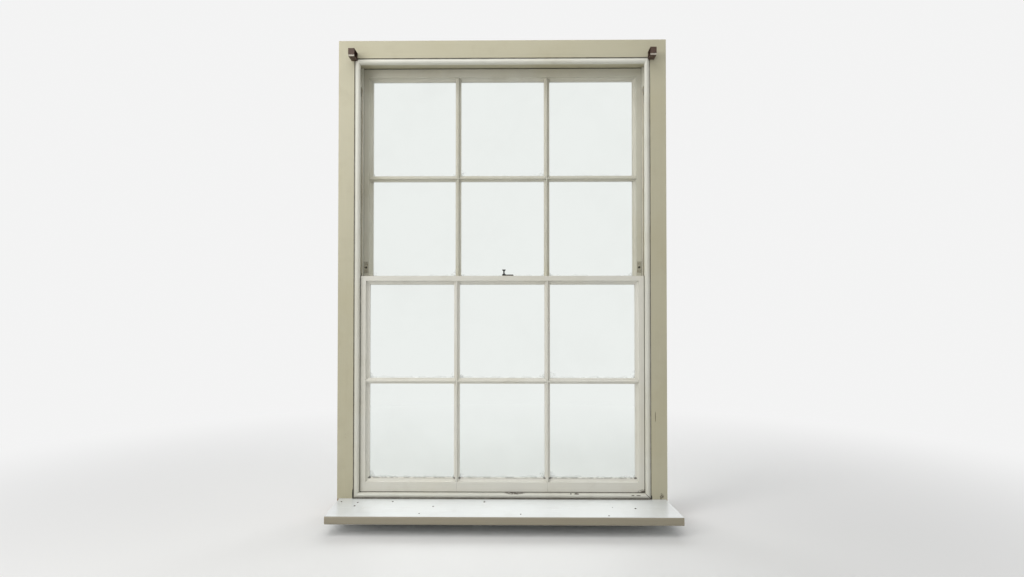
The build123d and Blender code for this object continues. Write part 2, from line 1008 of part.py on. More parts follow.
def sash_stop():
    """Plate let into the upper stile, drilled for a stop bolt that limits the lower sash."""
    return stop_recess(0) - stop_hole() - placed(stop_screw_places(), screw(screw_gap))


def lower_sash_parts():
    right = stile(lower_sash) - sill_clearance()
    left = mirrored(right)
    meeting = rail(
        lower_sash,
        lower_meeting_section(),
        lower_sash.sight_top,
        1,
        opening_half_width - parting_reach - slide_gap,
    )
    meeting -= placed(fastener_screw_places(), screw(screw_gap))
    bottom = bottom_rail()
    return {
        "lower_stile_left": left,
        "lower_stile_right": right,
        "lower_meeting_rail": meeting,
        "lower_bottom_rail": bottom,
        **sash_infill("lower", lower_sash, (left, right), (bottom, meeting)),
    }


def upper_sash_parts():
    right = stile(upper_sash) - stop_recess(stop_proud) - stop_hole()
    right -= placed(stop_screw_places(), screw(screw_gap))
    left = mirrored(right)
    meeting = rail(
        upper_sash,
        upper_meeting_section(),
        upper_sash.sight_bottom,
        -1,
        opening_half_width - parting_reach - slide_gap,
    )
    meeting -= placed(keep_screw_places(), screw(screw_gap))
    top = rail(upper_sash, moulded_section(top_rail_height), upper_sash.sight_top, 1, flat_half_width)
    return {
        "upper_stile_left": left,
        "upper_stile_right": right,
        "upper_meeting_rail": meeting,
        "upper_top_rail": top,
        **sash_infill("upper", upper_sash, (left, right), (meeting, top)),
    }


def sash_infill(name, sash, stiles, rails):
    """Glazing bars, panes and putty of one sash."""
    crossings = cross_bars(sash, stiles)
    openings = pane_openings(sash)
    bars = [upright_bar(sash, x, rails, crossings) for x in bar_places]
    return {
        f"{name}_bar_left": bars[0],
        f"{name}_bar_right": bars[1],
        f"{name}_cross_bars": crossings,
        f"{name}_panes": [pane(sash, opening) for opening in openings],
        f"{name}_putty": [putty(sash, opening) for opening in openings],
    }


def both_sides(name, part):
    return {f"{name}_left": mirrored(part), f"{name}_right": part}


def frame_parts():
    screw_half = placed(frame_screw_places(), screw(0))
    bracket_places = bracket_screw_places(bracket_left_x) + bracket_screw_places(bracket_right_x)
    bracket_holes = placed(bracket_places, screw(screw_gap))
    linings = both_sides("inside_lining", inside_lining())
    linings["inside_lining_head"] = inside_lining_head()
    linings = {name: lining - bracket_holes for name, lining in linings.items()}
    beads = {name: bead - bracket_holes for name, bead in staff_beads().items()}
    cases = [pulley_case(y) for y in (lower_run_y, upper_run_y)]
    slip = parting_slip()
    return {
        "sill": sill(),
        "head": head() - bracket_holes,
        **both_sides("pulley_stile", pulley_stile()),
        **both_sides("pocket_piece", pocket_piece()),
        **linings,
        **both_sides("outside_lining", outside_lining()),
        "outside_lining_head": outside_lining_head(),
        **both_sides("back_lining", back_lining()),
        "parting_slips": [mirrored(slip), slip],
        **both_sides("parting_bead", parting_bead()),
        **beads,
        "window_board": window_board(),
        "blind_brackets": [bracket(bracket_left_x, 1), bracket(bracket_right_x, -1)],
        "pulley_cases": cases + [mirrored(case) for case in cases],
        "frame_screws": (
            screw_half
            + [mirrored(part) for part in screw_half]
            + placed(bracket_places, screw(0))
        ),
    }


def hardware_parts():
    stop = sash_stop()
    stop_screws = placed(stop_screw_places(), screw(0))
    return {
        "sash_stops": [mirrored(stop), stop],
        "fastener_keep": fastener_keep(),
        "upper_sash_screws": (
            stop_screws
            + [mirrored(part) for part in stop_screws]
            + placed(keep_screw_places(), screw(0))
        ),
        "fastener_base": fastener_base(),
        "lower_sash_screws": placed(fastener_screw_places(), screw(0)),
        "fastener_arm": fastener_arm(),
    }


def hanging_parts():
    """Wheels, weights and cords of both sashes."""
    parts = {}
    hung = (
        ("lower", lower_sash, weight_highest, lower_weight_length),
        ("upper", upper_sash, weight_highest - sash_travel, upper_weight_length),
    )
    for name, sash, top, length in hung:
        parts.update(both_sides(f"{name}_pulley_wheel", pulley_wheel(sash.run_y)))
        parts.update(both_sides(f"{name}_weight", sash_weight(sash.run_y, top, length)))
        cord = sash_cord(sash, top)
        parts[f"{name}_cords"] = [mirrored(cord), cord]
    return parts


def write(parts):
    os.makedirs("parts", exist_ok=True)
    for name, part in parts.items():
        solids = part if isinstance(part, list) else [part]
        loose = [solid for piece in solids for solid in piece.solids()]
        export_step(Compound(loose), f"parts/{name}.step")


write({**frame_parts(), **lower_sash_parts(), **upper_sash_parts(), **hardware_parts(), **hanging_parts()})
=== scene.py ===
import math

import bmesh
import bpy
from mathutils import Matrix, Vector


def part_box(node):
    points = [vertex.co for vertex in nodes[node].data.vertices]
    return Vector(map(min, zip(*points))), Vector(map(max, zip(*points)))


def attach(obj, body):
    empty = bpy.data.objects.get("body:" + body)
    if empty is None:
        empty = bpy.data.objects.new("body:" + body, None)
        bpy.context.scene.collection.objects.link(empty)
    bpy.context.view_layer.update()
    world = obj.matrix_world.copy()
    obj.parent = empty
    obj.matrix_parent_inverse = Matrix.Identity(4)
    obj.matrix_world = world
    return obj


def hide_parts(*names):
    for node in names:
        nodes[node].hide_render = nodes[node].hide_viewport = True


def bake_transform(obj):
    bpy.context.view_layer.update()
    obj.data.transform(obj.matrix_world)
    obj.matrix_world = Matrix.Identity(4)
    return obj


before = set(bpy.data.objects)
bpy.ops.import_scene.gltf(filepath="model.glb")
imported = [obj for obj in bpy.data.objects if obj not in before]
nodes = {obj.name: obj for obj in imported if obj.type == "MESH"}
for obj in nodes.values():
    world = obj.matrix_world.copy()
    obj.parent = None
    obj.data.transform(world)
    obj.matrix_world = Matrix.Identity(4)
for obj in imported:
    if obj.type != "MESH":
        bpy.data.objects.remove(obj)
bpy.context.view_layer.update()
SIDES = ("left", "right")
SASHES = ("lower", "upper")

# Camera, found from the lines of the photograph: metres, degrees and millimetres of lens
CAMERA_PLACE = (0.0807, -2.99, 0.8519)
CAMERA_TURN = 0.794
CAMERA_TILT = 0.997
CAMERA_LENS = 25.954

# Pale surroundings: their tones, the light they give, and where the floor fades into them
PAPER = (0.9, 0.9, 0.9, 1.0)
FLOOR_TONE = (0.82, 0.82, 0.81, 1.0)
FILL = 0.42
FLOOR_NEAR = 1.0
FLOOR_FAR = 3.2
FLOOR_HALF = 20

# Softened edges. Points closer than SAME_POINT are one, and edges of over EDGE_ANGLE are rounded
TIMBER_EDGE = 0.0006
METAL_EDGE = 0.0003
EDGE_ANGLE = 40
SAME_POINT = 0.000002

# Cords, their braid and their knots
CORD_RADIUS = 0.003
CORD_SIDES = 20
CORD_BRAID = 0.0024
ARC_STEPS = 32
KNOT_LOOP = 0.0034
KNOT_TWIST = 0.0018
KNOT_CORD = 0.0026
KNOT_STEPS = 72
KNOT_SIDES = 12

# Screws. SLOT_WIDTH is half the slot's width as a share of the head's radius, and SLOT_DEPTH a
# share of the head's height. Turns are in radians. Points nearer to the axis than LEAST_SHANK
# aren't on the shank's side
SCREW_HEAD = 0.0024
SCREW_STEPS = 12
SLOT_WIDTH = 0.14
SLOT_DEPTH = 0.4
FIRST_TURN = 0.4
NEXT_TURN = 0.7
LEAST_SHANK = 0.0005

# A distance beyond any on the part, for what doesn't count
FAR = 10.0

# Where the beads' room side, the beads' outer edge and the board's top lie
BEAD_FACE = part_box("staff_bead_right")[0].y
BEAD_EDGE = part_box("staff_bead_right")[1].x
BOARD_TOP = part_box("window_board")[1].z

# Marks that the photograph shows. Specks are (x, y, radius), and joints and chips (x, z, reach)
BOARD_SPECKS = (
    (-0.621, -0.121, 0.0032),
    (-0.555, -0.133, 0.0036),
    (-0.556, -0.180, 0.0038),
    (-0.422, -0.117, 0.0034),
    (-0.297, -0.278, 0.0028),
    (-0.257, -0.182, 0.0034),
    (-0.066, -0.118, 0.0040),
    (0.075, -0.281, 0.0026),
    (0.395, -0.297, 0.0030),
    (0.420, -0.189, 0.0018),
    (0.505, -0.201, 0.0040),
)
LINING_CRACK = (0.604, BEAD_FACE, 0.398)
LINING_STAIN = (0.628, BEAD_FACE, 0.087)
OPEN_JOINTS = ((-BEAD_EDGE, 0.09, 0.024), (BEAD_EDGE, 0.08, 0.012))
BEAD_SCAR = (0.047, -0.066, 0.0955)
BEAD_CHIPS = (
    (0.272, 0.0940, 0.0035),
    (0.294, 0.0940, 0.0110),
    (0.515, 0.0894, 0.0065),
    (0.537, 0.0894, 0.0095),
)
SASH_CORNER = (0.562, -0.052, 0.097)


def srgb(red, green, blue):
    """Colour given as it shows on a screen, from 0 to 255."""
    def straight(value):
        share = value / 255
        return share / 12.92 if share <= 0.04045 else ((share + 0.055) / 1.055) ** 2.4
    return (straight(red), straight(green), straight(blue), 1.0)


class ShaderTree:
    """Short names for shader nodes. Each method adds nodes and gives the last one's output."""

    def __init__(self, tree):
        self.tree = tree

    def add(self, kind, inputs=None, **settings):
        """New node. Inputs go to its sockets, and settings to its own properties."""
        node = self.tree.nodes.new(kind)
        for key, value in settings.items():
            setattr(node, key, value)
        for key, value in (inputs or {}).items():
            self.feed(node.inputs[key], value)
        return node

    def feed(self, socket, value):
        """Links a node's output to a socket, or sets the socket to a plain value."""
        if isinstance(value, bpy.types.NodeSocket):
            self.tree.links.new(value, socket)
        else:
            socket.default_value = value

    def calc(self, operation, *values):
        """Sum or comparison. The values are numbers or outputs of nodes."""
        node = self.add("ShaderNodeMath", operation=operation)
        for socket, value in zip(node.inputs, values):
            self.feed(socket, value)
        return node.outputs[0]

    def fold(self, operation, values):
        """Takes any number of values through an operation, two at a time."""
        result = values[0]
        for value in values[1:]:
            result = self.calc(operation, result, value)
        return result

    def total(self, *values):
        return self.fold("ADD", values)

    def product(self, *values):
        return self.fold("MULTIPLY", values)

    def largest(self, *values):
        return self.fold("MAXIMUM", values)

    def smallest(self, *values):
        return self.fold("MINIMUM", values)

    def minus(self, value, other):
        return self.calc("SUBTRACT", value, other)

    def inverse(self, value):
        return self.minus(1.0, value)

    def apart(self, value, other):
        """Distance between two values."""
        return self.calc("ABSOLUTE", self.minus(value, other))

    def rise(self, value, low, high):
        """0 below low and 1 above high, smooth between them. High may be the smaller number."""
        settings = {"Value": value, "From Min": low, "From Max": high}
        node = self.add("ShaderNodeMapRange", settings, interpolation_type="SMOOTHSTEP")
        return node.outputs["Result"]

    def between(self, value, low, high):
        """Maps a pattern from 0..1 to another range."""
        settings = {"Value": value, "To Min": low, "To Max": high}
        return self.add("ShaderNodeMapRange", settings).outputs["Result"]

    def seen_rays(self):
        """1 for the rays that look at the surroundings, and 0 for those that light the part."""
        path = self.add("ShaderNodeLightPath").outputs
        return self.largest(path["Is Camera Ray"], path["Is Glossy Ray"], path["Is Transmission Ray"])


class Surface(ShaderTree):
    """A material, called s where it is painted. Patterns are in metres and fixed to the piece."""

    def __init__(self, name):
        self.material = bpy.data.materials.new(name)
        self.material.use_nodes = True
        super().__init__(self.material.node_tree)
        self.shader = self.tree.nodes["Principled BSDF"]
        self.output = self.tree.nodes["Material Output"]
        coordinates = self.add("ShaderNodeTexCoord")
        self.place = coordinates.outputs["Object"]
        self.facing = coordinates.outputs["Normal"]

    def set(self, **values):
        """Sets sockets of the main shader, with spaces written as underscores."""
        for key, value in values.items():
            self.feed(self.shader.inputs[key.replace("_", " ")], value)

    def blend_with(self, share, other):
        """Puts another shader over the main one. Share 1 shows only the other."""
        mixed = self.add("ShaderNodeMixShader", {0: share})
        self.feed(mixed.inputs[1], self.shader.outputs[0])
        self.feed(mixed.inputs[2], other)
        self.feed(self.output.inputs["Surface"], mixed.outputs[0])

    def mix(self, share, first, second):
        """Colour between two, with share 1 for the second."""
        node = self.add("ShaderNodeMix", data_type="RGBA")
        self.feed(node.inputs[0], share)
        self.feed(node.inputs[6], first)
        self.feed(node.inputs[7], second)
        return node.outputs[2]

    def shade(self, colour, level):
        """Colour made darker or lighter by a factor."""
        given = colour if isinstance(colour, bpy.types.NodeSocket) else colour[:3]
        return self.vector("SCALE", {0: given, "Scale": level}).outputs[0]

    def vector(self, operation, inputs):
        """Vector node, from which the caller takes the output that it needs."""
        return self.add("ShaderNodeVectorMath", inputs, operation=operation)

    def scaled(self, sizes, shift):
        """The piece's places in units of the pattern's sizes, moved along by shift."""
        settings = {
            "Vector": self.place,
            "Location": (shift, shift * 1.7, shift * 2.3),
            "Scale": [1 / size for size in sizes],
        }
        return self.add("ShaderNodeMapping", settings).outputs[0]

    def noise(self, size, detail=3.0, roughness=0.5, shift=0.0):
        """Smooth noise. Size is a length, or three lengths for a pattern drawn out along an axis."""
        sizes = (size,) * 3 if isinstance(size, float) else size
        settings = {
            "Vector": self.scaled(sizes, shift),
            "Scale": 1.0,
            "Detail": detail,
            "Roughness": roughness,
        }
        return self.add("ShaderNodeTexNoise", settings).outputs[0]

    def parts(self, vector):
        """The x, y and z of a vector."""
        return self.add("ShaderNodeSeparateXYZ", {"Vector": vector}).outputs

    def crevice(self, distance):
        """1 deep in a corner or gap and 0 in the open."""
        node = self.add("ShaderNodeAmbientOcclusion", {"Distance": distance}, samples=6)
        return self.inverse(node.outputs["AO"])

    def turned_to(self, directions):
        """1 on faces that look along one of the directions."""
        found = []
        for direction in directions:
            node = self.vector("DOT_PRODUCT", {0: self.facing, 1: direction})
            found.append(self.rise(node.outputs["Value"], 0.35, 0.6))
        return self.largest(*found)

    def near(self, centre, radii, ragged=0.0):
        """1 inside an ellipsoid and 0 outside it, with an edge broken up by noise."""
        offset = self.vector("SUBTRACT", {0: self.place, 1: centre}).outputs[0]
        share = self.vector("DIVIDE", {0: offset, 1: radii}).outputs[0]
        distance = self.vector("LENGTH", {0: share}).outputs["Value"]
        if ragged:
            wobble = self.between(self.noise(min(radii), 4.0), -ragged, ragged)
            distance = self.total(distance, wobble)
        return self.rise(distance, 1.05, 0.8)

    def bump(self, height, distance):
        """Relief. Distance is how deep a height of 1 stands."""
        settings = {"Height": height, "Distance": distance, "Strength": 1.0}
        return self.add("ShaderNodeBump", settings).outputs[0]


ALONG = {"x": (1, 0, 0), "y": (0, 1, 0), "z": (0, 0, 1)}


def drawn_out(grain, across, along):
    """Pattern sizes that are long in the direction of the grain."""
    return tuple(along if share else across for share in ALONG[grain])


def wood_layer(s, grain):
    """Colour and height of bare softwood."""
    rings = s.noise(drawn_out(grain, 0.011, 0.5), 2.0, 0.6, 3.1)
    bands = s.calc("FRACT", s.product(rings, 9.0))
    late = s.rise(bands, 0.45, 0.95)
    fibres = s.noise(drawn_out(grain, 0.0008, 0.05), 4.0, 0.65, 5.2)
    colour = s.mix(late, srgb(178, 150, 112), srgb(152, 120, 82))
    dark = s.product(s.rise(fibres, 0.5, 0.8), 0.6)
    colour = s.mix(dark, colour, srgb(124, 100, 72))
    age = s.rise(s.noise(0.12, 4.0, 0.6, 8.0), 0.35, 0.7)
    colour = s.mix(s.product(age, 0.7), colour, srgb(126, 114, 96))
    height = s.total(s.product(fibres, 0.6), s.product(late, 0.4))
    return colour, height


def soiled_and_crevice_shaded(s, paint, dirt):
    """Film all over, painted shade with grime in the corners and mould on what faces up. Gives the
    paint and the corner shade with grime.
    """
    upward = s.parts(s.facing)[2]
    # Occlusion darkens corners and gaps: painted shade, mixed with real grime
    corner = s.crevice(0.007)
    clouds = s.noise(0.018, 5.0, 0.65, 9.0)
    crevice_shade_and_grime = s.product(s.rise(corner, 0.42, 0.86), s.between(clouds, 0.7, 1.15), dirt)
    ledge = s.product(s.rise(upward, 0.3, 0.8), s.rise(corner, 0.1, 0.4), s.rise(clouds, 0.4, 0.58))
    mould = s.product(s.rise(s.noise(0.0028, 3.0, 0.6, 11.0), 0.52, 0.62), ledge, dirt)
    film = s.product(s.rise(s.noise(0.09, 5.0, 0.6, 12.0), 0.5, 0.8), 0.16 * dirt)
    paint = s.mix(film, paint, srgb(150, 140, 112))
    paint = s.mix(s.smallest(crevice_shade_and_grime, 0.94), paint, srgb(58, 51, 37))
    return s.mix(s.product(mould, 0.9), paint, srgb(44, 40, 34)), crevice_shade_and_grime


def chipped(s, paint, wood, weather):
    """Paint chipped down to the primer and the wood. Gives the paint and where it is chipped."""
    flaw = s.product(
        s.rise(s.noise(0.006, 4.0, 0.6, 14.0), 0.67 - 0.06 * weather, 0.685 - 0.06 * weather),
        s.rise(s.noise(0.16, 2.0, 0.5, 15.0), 0.62 - 0.14 * weather, 0.72 - 0.14 * weather),
    )
    primer = s.mix(s.rise(s.noise(0.004, 2.0, 0.5, 18.0), 0.4, 0.6), srgb(176, 170, 154), wood)
    return s.mix(flaw, paint, primer), flaw


def run_down(s, paint, weather):
    """Streaks that rain has left."""
    run = s.noise((0.02, 0.02, 0.5), 4.0, 0.6, 17.0)
    return s.mix(s.product(s.rise(run, 0.45, 0.75), 0.35 * weather), paint, srgb(122, 118, 100))


def weather_cracks(s, grain, weather):
    """1 in the cracks that weather opens along the grain."""
    lines = s.noise(drawn_out(grain, 0.0025, 0.09), 5.0, 0.6, 16.0)
    narrow = s.rise(s.apart(lines, 0.5), 0.012, 0.003)
    return s.product(narrow, s.rise(s.noise(0.05, 3.0, 0.6, 19.0), 0.5, 0.62), weather)


def brushed_sides(s, faces, to_middle):
    """1 on the sides that were painted: faces by direction, and what looks to the window's middle."""
    masks = [s.turned_to(faces)] if faces else []
    if to_middle:
        inward = s.product(s.parts(s.facing)[0], s.parts(s.place)[0])
        masks.append(s.rise(inward, -0.15, -0.3))
    return s.largest(*masks)


def painted_timber(name, colour, grain, faces=(), to_middle=False, age=0.3, dirt=1.0,
                   gloss=0.32, weather=0.0, marks=None):
    """Brushed paint on wood. Faces that are not named stay bare, and no name means paint all over."""
    s = Surface(name)
    blotches = s.noise(0.22, 4.0, 0.55, 1.0)
    streaks = s.noise(drawn_out(grain, 0.0022, 0.16), 3.0, 0.55, 2.0)
    fine = s.noise(drawn_out(grain, 0.0006, 0.03), 2.0, 0.5, 4.0)
    peel = s.noise(0.0035, 2.0, 0.5, 6.0)
    yellow = (colour[0] * 0.9, colour[1] * 0.86, colour[2] * 0.74, 1.0)
    paint = s.mix(s.product(s.rise(blotches, 0.42, 0.72), age), colour, yellow)
    paint = s.shade(paint, s.between(streaks, 0.955, 1.035))
    # Corners and gaps get painted shade with grime
    paint, crevice_shade_and_grime = soiled_and_crevice_shaded(s, paint, dirt)
    if weather:
        paint = run_down(s, paint, weather)
    wood, wood_height = wood_layer(s, grain)
    paint, flaw = chipped(s, paint, wood, weather)
    relief = [s.product(streaks, 0.55), s.product(fine, 0.2), s.product(peel, 0.3)]
    if weather:
        cracks = weather_cracks(s, grain, weather)
        paint = s.mix(s.product(cracks, 0.8), paint, srgb(84, 76, 60))
        relief.append(s.product(cracks, -1.2))
    if marks:
        paint, flaw = marks(s, paint, flaw)
    height = s.total(*relief, s.product(flaw, -1.6))
    shine = s.total(s.between(streaks, gloss - 0.05, gloss + 0.07), s.product(crevice_shade_and_grime, 0.3))
    shine = s.largest(shine, s.product(flaw, 0.8))
    if faces or to_middle:
        covered = brushed_sides(s, faces, to_middle)
        bare = s.inverse(covered)
        splashes = s.rise(s.noise(0.06, 5.0, 0.65, 20.0), 0.56, 0.66)
        paint = s.mix(covered, s.mix(splashes, wood, srgb(198, 194, 182)), paint)
        shine = s.largest(shine, s.product(bare, 0.85))
        height = s.total(s.product(height, covered), s.product(wood_height, bare, 1.4))
    s.set(Base_Color=paint, Roughness=shine, Normal=s.bump(height, 0.00022))
    return s.material


def board_marks(s, paint, flaw):
    """Flecks on top of the window board, painted shade on its front face, and a painted contact shadow
    with dirt along the bead's foot.
    """
    spots = []
    for x, y, radius in BOARD_SPECKS:
        spots.append(s.near((x, y, BOARD_TOP), (1.15 * radius, 2 * radius, 0.004), 0.6))
    tone = s.mix(s.noise(0.0015, 2.0, 0.5, 26.0), srgb(26, 22, 18), srgb(74, 62, 48))
    paint = s.mix(s.product(s.largest(*spots), 0.97), paint, tone)
    # Painted shade: the board's front face is darkened and browned, as it is in shade
    edge = s.rise(s.parts(s.facing)[1], -0.3, -0.75)
    paint = s.mix(s.product(edge, 0.88), paint, srgb(138, 127, 100))
    # Painted contact shadow, with dirt, on the board in front of the bead's foot
    across, back, _ = s.parts(s.place)
    under_bead = s.rise(s.calc("ABSOLUTE", across), BEAD_EDGE + 0.002, BEAD_EDGE - 0.002)
    broken = s.between(s.noise(0.04, 3.0, 0.6, 30.0), 0.6, 1.15)
    foot_shadow_and_dirt = s.product(s.rise(back, BEAD_FACE - 0.013, BEAD_FACE - 0.004), under_bead, broken)
    return s.mix(s.smallest(foot_shadow_and_dirt, 0.92), paint, srgb(66, 59, 44)), flaw


def lining_marks(s, paint, flaw):
    """A crack and a soiled foot on the right-hand lining."""
    crack = s.near(LINING_CRACK, (0.0012, 0.01, 0.022), 0.3)
    patchy = s.rise(s.noise(0.004, 4.0, 0.7, 28.0), 0.42, 0.56)
    stain = s.product(s.near(LINING_STAIN, (0.009, 0.01, 0.011), 1.1), patchy)
    paint = s.mix(s.product(crack, 0.85), paint, srgb(64, 54, 38))
    paint = s.mix(s.product(stain, 0.85), paint, srgb(70, 58, 42))
    return open_joints(s, paint), s.largest(flaw, crack)


def open_joints(s, paint):
    """Dark gaps at the feet of the linings, where they have come away from the beads."""
    gaps = [s.near((x, BEAD_FACE, z), (0.0028, 0.012, reach), 0.15) for x, z, reach in OPEN_JOINTS]
    return s.mix(s.product(s.largest(*gaps), 0.96), paint, srgb(24, 20, 16))


def sunk_edge_shade_and_dirt(s, paint, inset):
    """Painted shade, with dirt, along the sunk edge of a staff bead. Inset is the way in from that
    edge.
    """
    deep = s.rise(s.parts(s.place)[1], BEAD_FACE + 0.0008, BEAD_FACE + 0.0018)
    outer = s.rise(inset, 0.0052, 0.0028)
    broken = s.between(s.noise(0.03, 3.0, 0.6, 27.0), 0.55, 1.1)
    # Painted shade, with dirt, in the quirk where the bead meets the lining
    return s.mix(s.smallest(s.product(deep, outer, broken), 0.93), paint, srgb(62, 55, 40))


def upright_bead_marks(s, paint, flaw):
    """Painted shade and dirt along the upright beads, their open mitre and the gaps at their feet."""
    inset = s.minus(BEAD_EDGE, s.calc("ABSOLUTE", s.parts(s.place)[0]))
    return open_joints(s, open_mitre(s, sunk_edge_shade_and_dirt(s, paint, inset))), flaw


def open_mitre(s, paint):
    """The mitre at the lower right-hand corner of the beads, where it has opened."""
    low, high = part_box("staff_bead_sill")
    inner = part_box("staff_bead_right")[0].x
    across, _, level = s.parts(s.place)
    slope = (high.z - low.z) / (BEAD_EDGE - inner)
    from_end = s.product(s.minus(BEAD_EDGE, across), slope)
    off = s.apart(from_end, s.minus(level, low.z))
    corner = ((inner + BEAD_EDGE) / 2, BEAD_FACE, (low.z + high.z) / 2)
    here = s.near(corner, (0.016, 0.03, 0.016))
    return s.mix(s.product(s.rise(off, 0.0022, 0.001), here, 0.9), paint, srgb(52, 46, 34))


def level_bead_marks(s, paint, flaw):
    """Painted shade and dirt along the level beads, and worn places along the one over the sill."""
    level = s.parts(s.place)[2]
    below_top = s.minus(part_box("staff_bead_head")[1].z, level)
    above_foot = s.minus(level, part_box("staff_bead_sill")[0].z)
    paint = sunk_edge_shade_and_dirt(s, paint, s.smallest(below_top, above_foot))
    scar = s.product(
        s.near(BEAD_SCAR, (0.042, 0.02, 0.0035), 0.5),
        s.rise(s.noise(0.01, 4.0, 0.6, 22.0), 0.42, 0.5),
    )
    chips = [s.near((x, BEAD_FACE, z), (reach, 0.02, 0.0018), 0.5) for x, z, reach in BEAD_CHIPS]
    worn = s.largest(scar, *chips)
    paint = s.mix(s.product(worn, 0.9), paint, srgb(70, 58, 46))
    return open_mitre(s, paint), s.largest(flaw, worn)


def rail_marks(s, paint, flaw):
    """Hairlines where the tenons of the upright bars come through the bottom rail, and its dirt and
    painted shade.
    """
    across = s.parts(s.place)[0]
    bars = lines_of("lower", 0)[1:3]
    lines = [s.rise(s.apart(across, middle), 0.0009, 0.0003) for middle, _ in bars]
    joint = s.product(s.largest(*lines), s.rise(s.noise(0.02, 3.0, 0.5, 25.0), 0.35, 0.55))
    paint = s.mix(s.product(joint, 0.4), paint, srgb(120, 112, 96))
    return lower_sash_marks(s, paint, flaw)


def shade_and_dirt_beside_beads(s, paint):
    """Painted shade, with dirt, on the lower sash along the staff beads."""
    across, _, level = s.parts(s.place)
    over_sill = s.minus(level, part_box("staff_bead_sill")[1].z)
    from_side = s.minus(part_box("staff_bead_right")[0].x, s.calc("ABSOLUTE", across))
    # Painted shade, with dirt, where the sash passes behind the beads
    line = s.rise(s.smallest(over_sill, from_side), 0.0034, 0.0014)
    broken = s.between(s.noise(0.03, 3.0, 0.6, 29.0), 0.7, 1.1)
    return s.mix(s.smallest(s.product(line, broken), 0.93), paint, srgb(56, 49, 36))


def foot_of_glass(s, paint):
    """Dirt at the foot of the lower panes, thickest in their corners."""
    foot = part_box("lower_bottom_rail")[1].z
    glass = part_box("lower_panes")[0].y
    spots = []
    for middle, half in lines_of("lower", 0):
        for x in (middle - half, middle + half):
            spots.append(s.near((x, glass, foot), (0.006, 0.03, 0.005), 0.6))
    _, back, level = s.parts(s.place)
    line = s.rise(s.apart(level, foot), 0.0036, 0.0016)
    broken = s.rise(s.noise(0.014, 4.0, 0.6, 33.0), 0.4, 0.58)
    edge = s.product(line, s.rise(back, glass - 0.014, glass - 0.008), broken)
    soil = s.largest(s.product(s.largest(*spots), 0.85), s.product(edge, 0.7))
    return s.mix(soil, paint, srgb(72, 66, 56))


def lower_sash_marks(s, paint, flaw):
    """Painted shade with dirt along the beads, dirt at the foot of the glass and in the sash's lower
    right-hand corner.
    """
    paint = shade_and_dirt_beside_beads(s, foot_of_glass(s, paint))
    heart = s.near(SASH_CORNER, (0.014, 0.02, 0.008), 0.5)
    rim = s.near(SASH_CORNER, (0.03, 0.02, 0.013), 0.4)
    speckled = s.rise(s.noise(0.003, 4.0, 0.65, 24.0), 0.44, 0.6)
    soil = s.largest(s.product(heart, 0.88), s.product(rim, speckled, 0.7))
    return s.mix(soil, paint, srgb(58, 50, 36)), flaw


def stop_marks(s, colour):
    """Painted shade in the mouths of the sash stops' holes and bores, and dirt round the screws of the
    upper sash.
    """
    soil = []
    for node in ("sash_stops", "upper_sash_screws"):
        for points in islands(node):
            low, high = corners_of(points)
            soil.append(s.near((low + high) / 2, (0.0048, 0.02, 0.0048), 0.25))
    # Painted shade in the holes, with dirt round the screws
    return s.mix(s.product(s.largest(*soil), 0.9), colour, srgb(34, 30, 24))


def stile_marks(s, paint, flaw):
    """The same painted hole shade and dirt where it lies on the stiles and bars of the upper sash."""
    return stop_marks(s, paint), flaw


def bracket_marks(s, colour):
    """Wall paint brushed over the lower front edges of the brackets."""
    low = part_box("blind_brackets")[0]
    foot = s.rise(s.parts(s.place)[2], low.z + 0.007, low.z + 0.004)
    front = s.rise(s.parts(s.place)[1], low.y + 0.006, low.y + 0.001)
    broken = s.rise(s.noise(0.006, 4.0, 0.6, 86.0), 0.36, 0.46)
    return s.mix(s.product(foot, front, broken, 0.9), colour, srgb(196, 190, 176))


def bare_timber(name, grain):
    """Sawn wood that never saw a brush, with smears of plaster and painted shade with dust in its
    crevices.
    """
    s = Surface(name)
    colour, height = wood_layer(s, grain)
    smear = s.rise(s.noise(0.07, 5.0, 0.7, 30.0), 0.58, 0.64)
    # Occlusion darkens the crevices: painted shade, with dust
    dust = s.product(s.rise(s.crevice(0.03), 0.2, 0.9), 0.5)
    saw = s.noise((0.4, 0.4, 0.0016), 2.0, 0.5, 31.0)
    colour = s.mix(dust, colour, srgb(96, 84, 66))
    colour = s.mix(smear, colour, srgb(196, 190, 176))
    relief = s.total(height, s.product(saw, 0.5), s.product(smear, 1.2))
    s.set(Base_Color=colour, Roughness=0.86, Normal=s.bump(relief, 0.0005))
    return s.material


def lines_of(sash, axis):
    """Places of the uprights or rails that a pane can end at, each with half its width."""
    if axis == 0:
        members = ("stile_left", "bar_left", "bar_right", "stile_right")
    elif sash == "lower":
        members = ("bottom_rail", "cross_bars", "meeting_rail")
    else:
        members = ("meeting_rail", "cross_bars", "top_rail")
    found = []
    for member in members:
        low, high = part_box(f"{sash}_{member}")
        found.append(((low[axis] + high[axis]) / 2, (high[axis] - low[axis]) / 2))
    return found


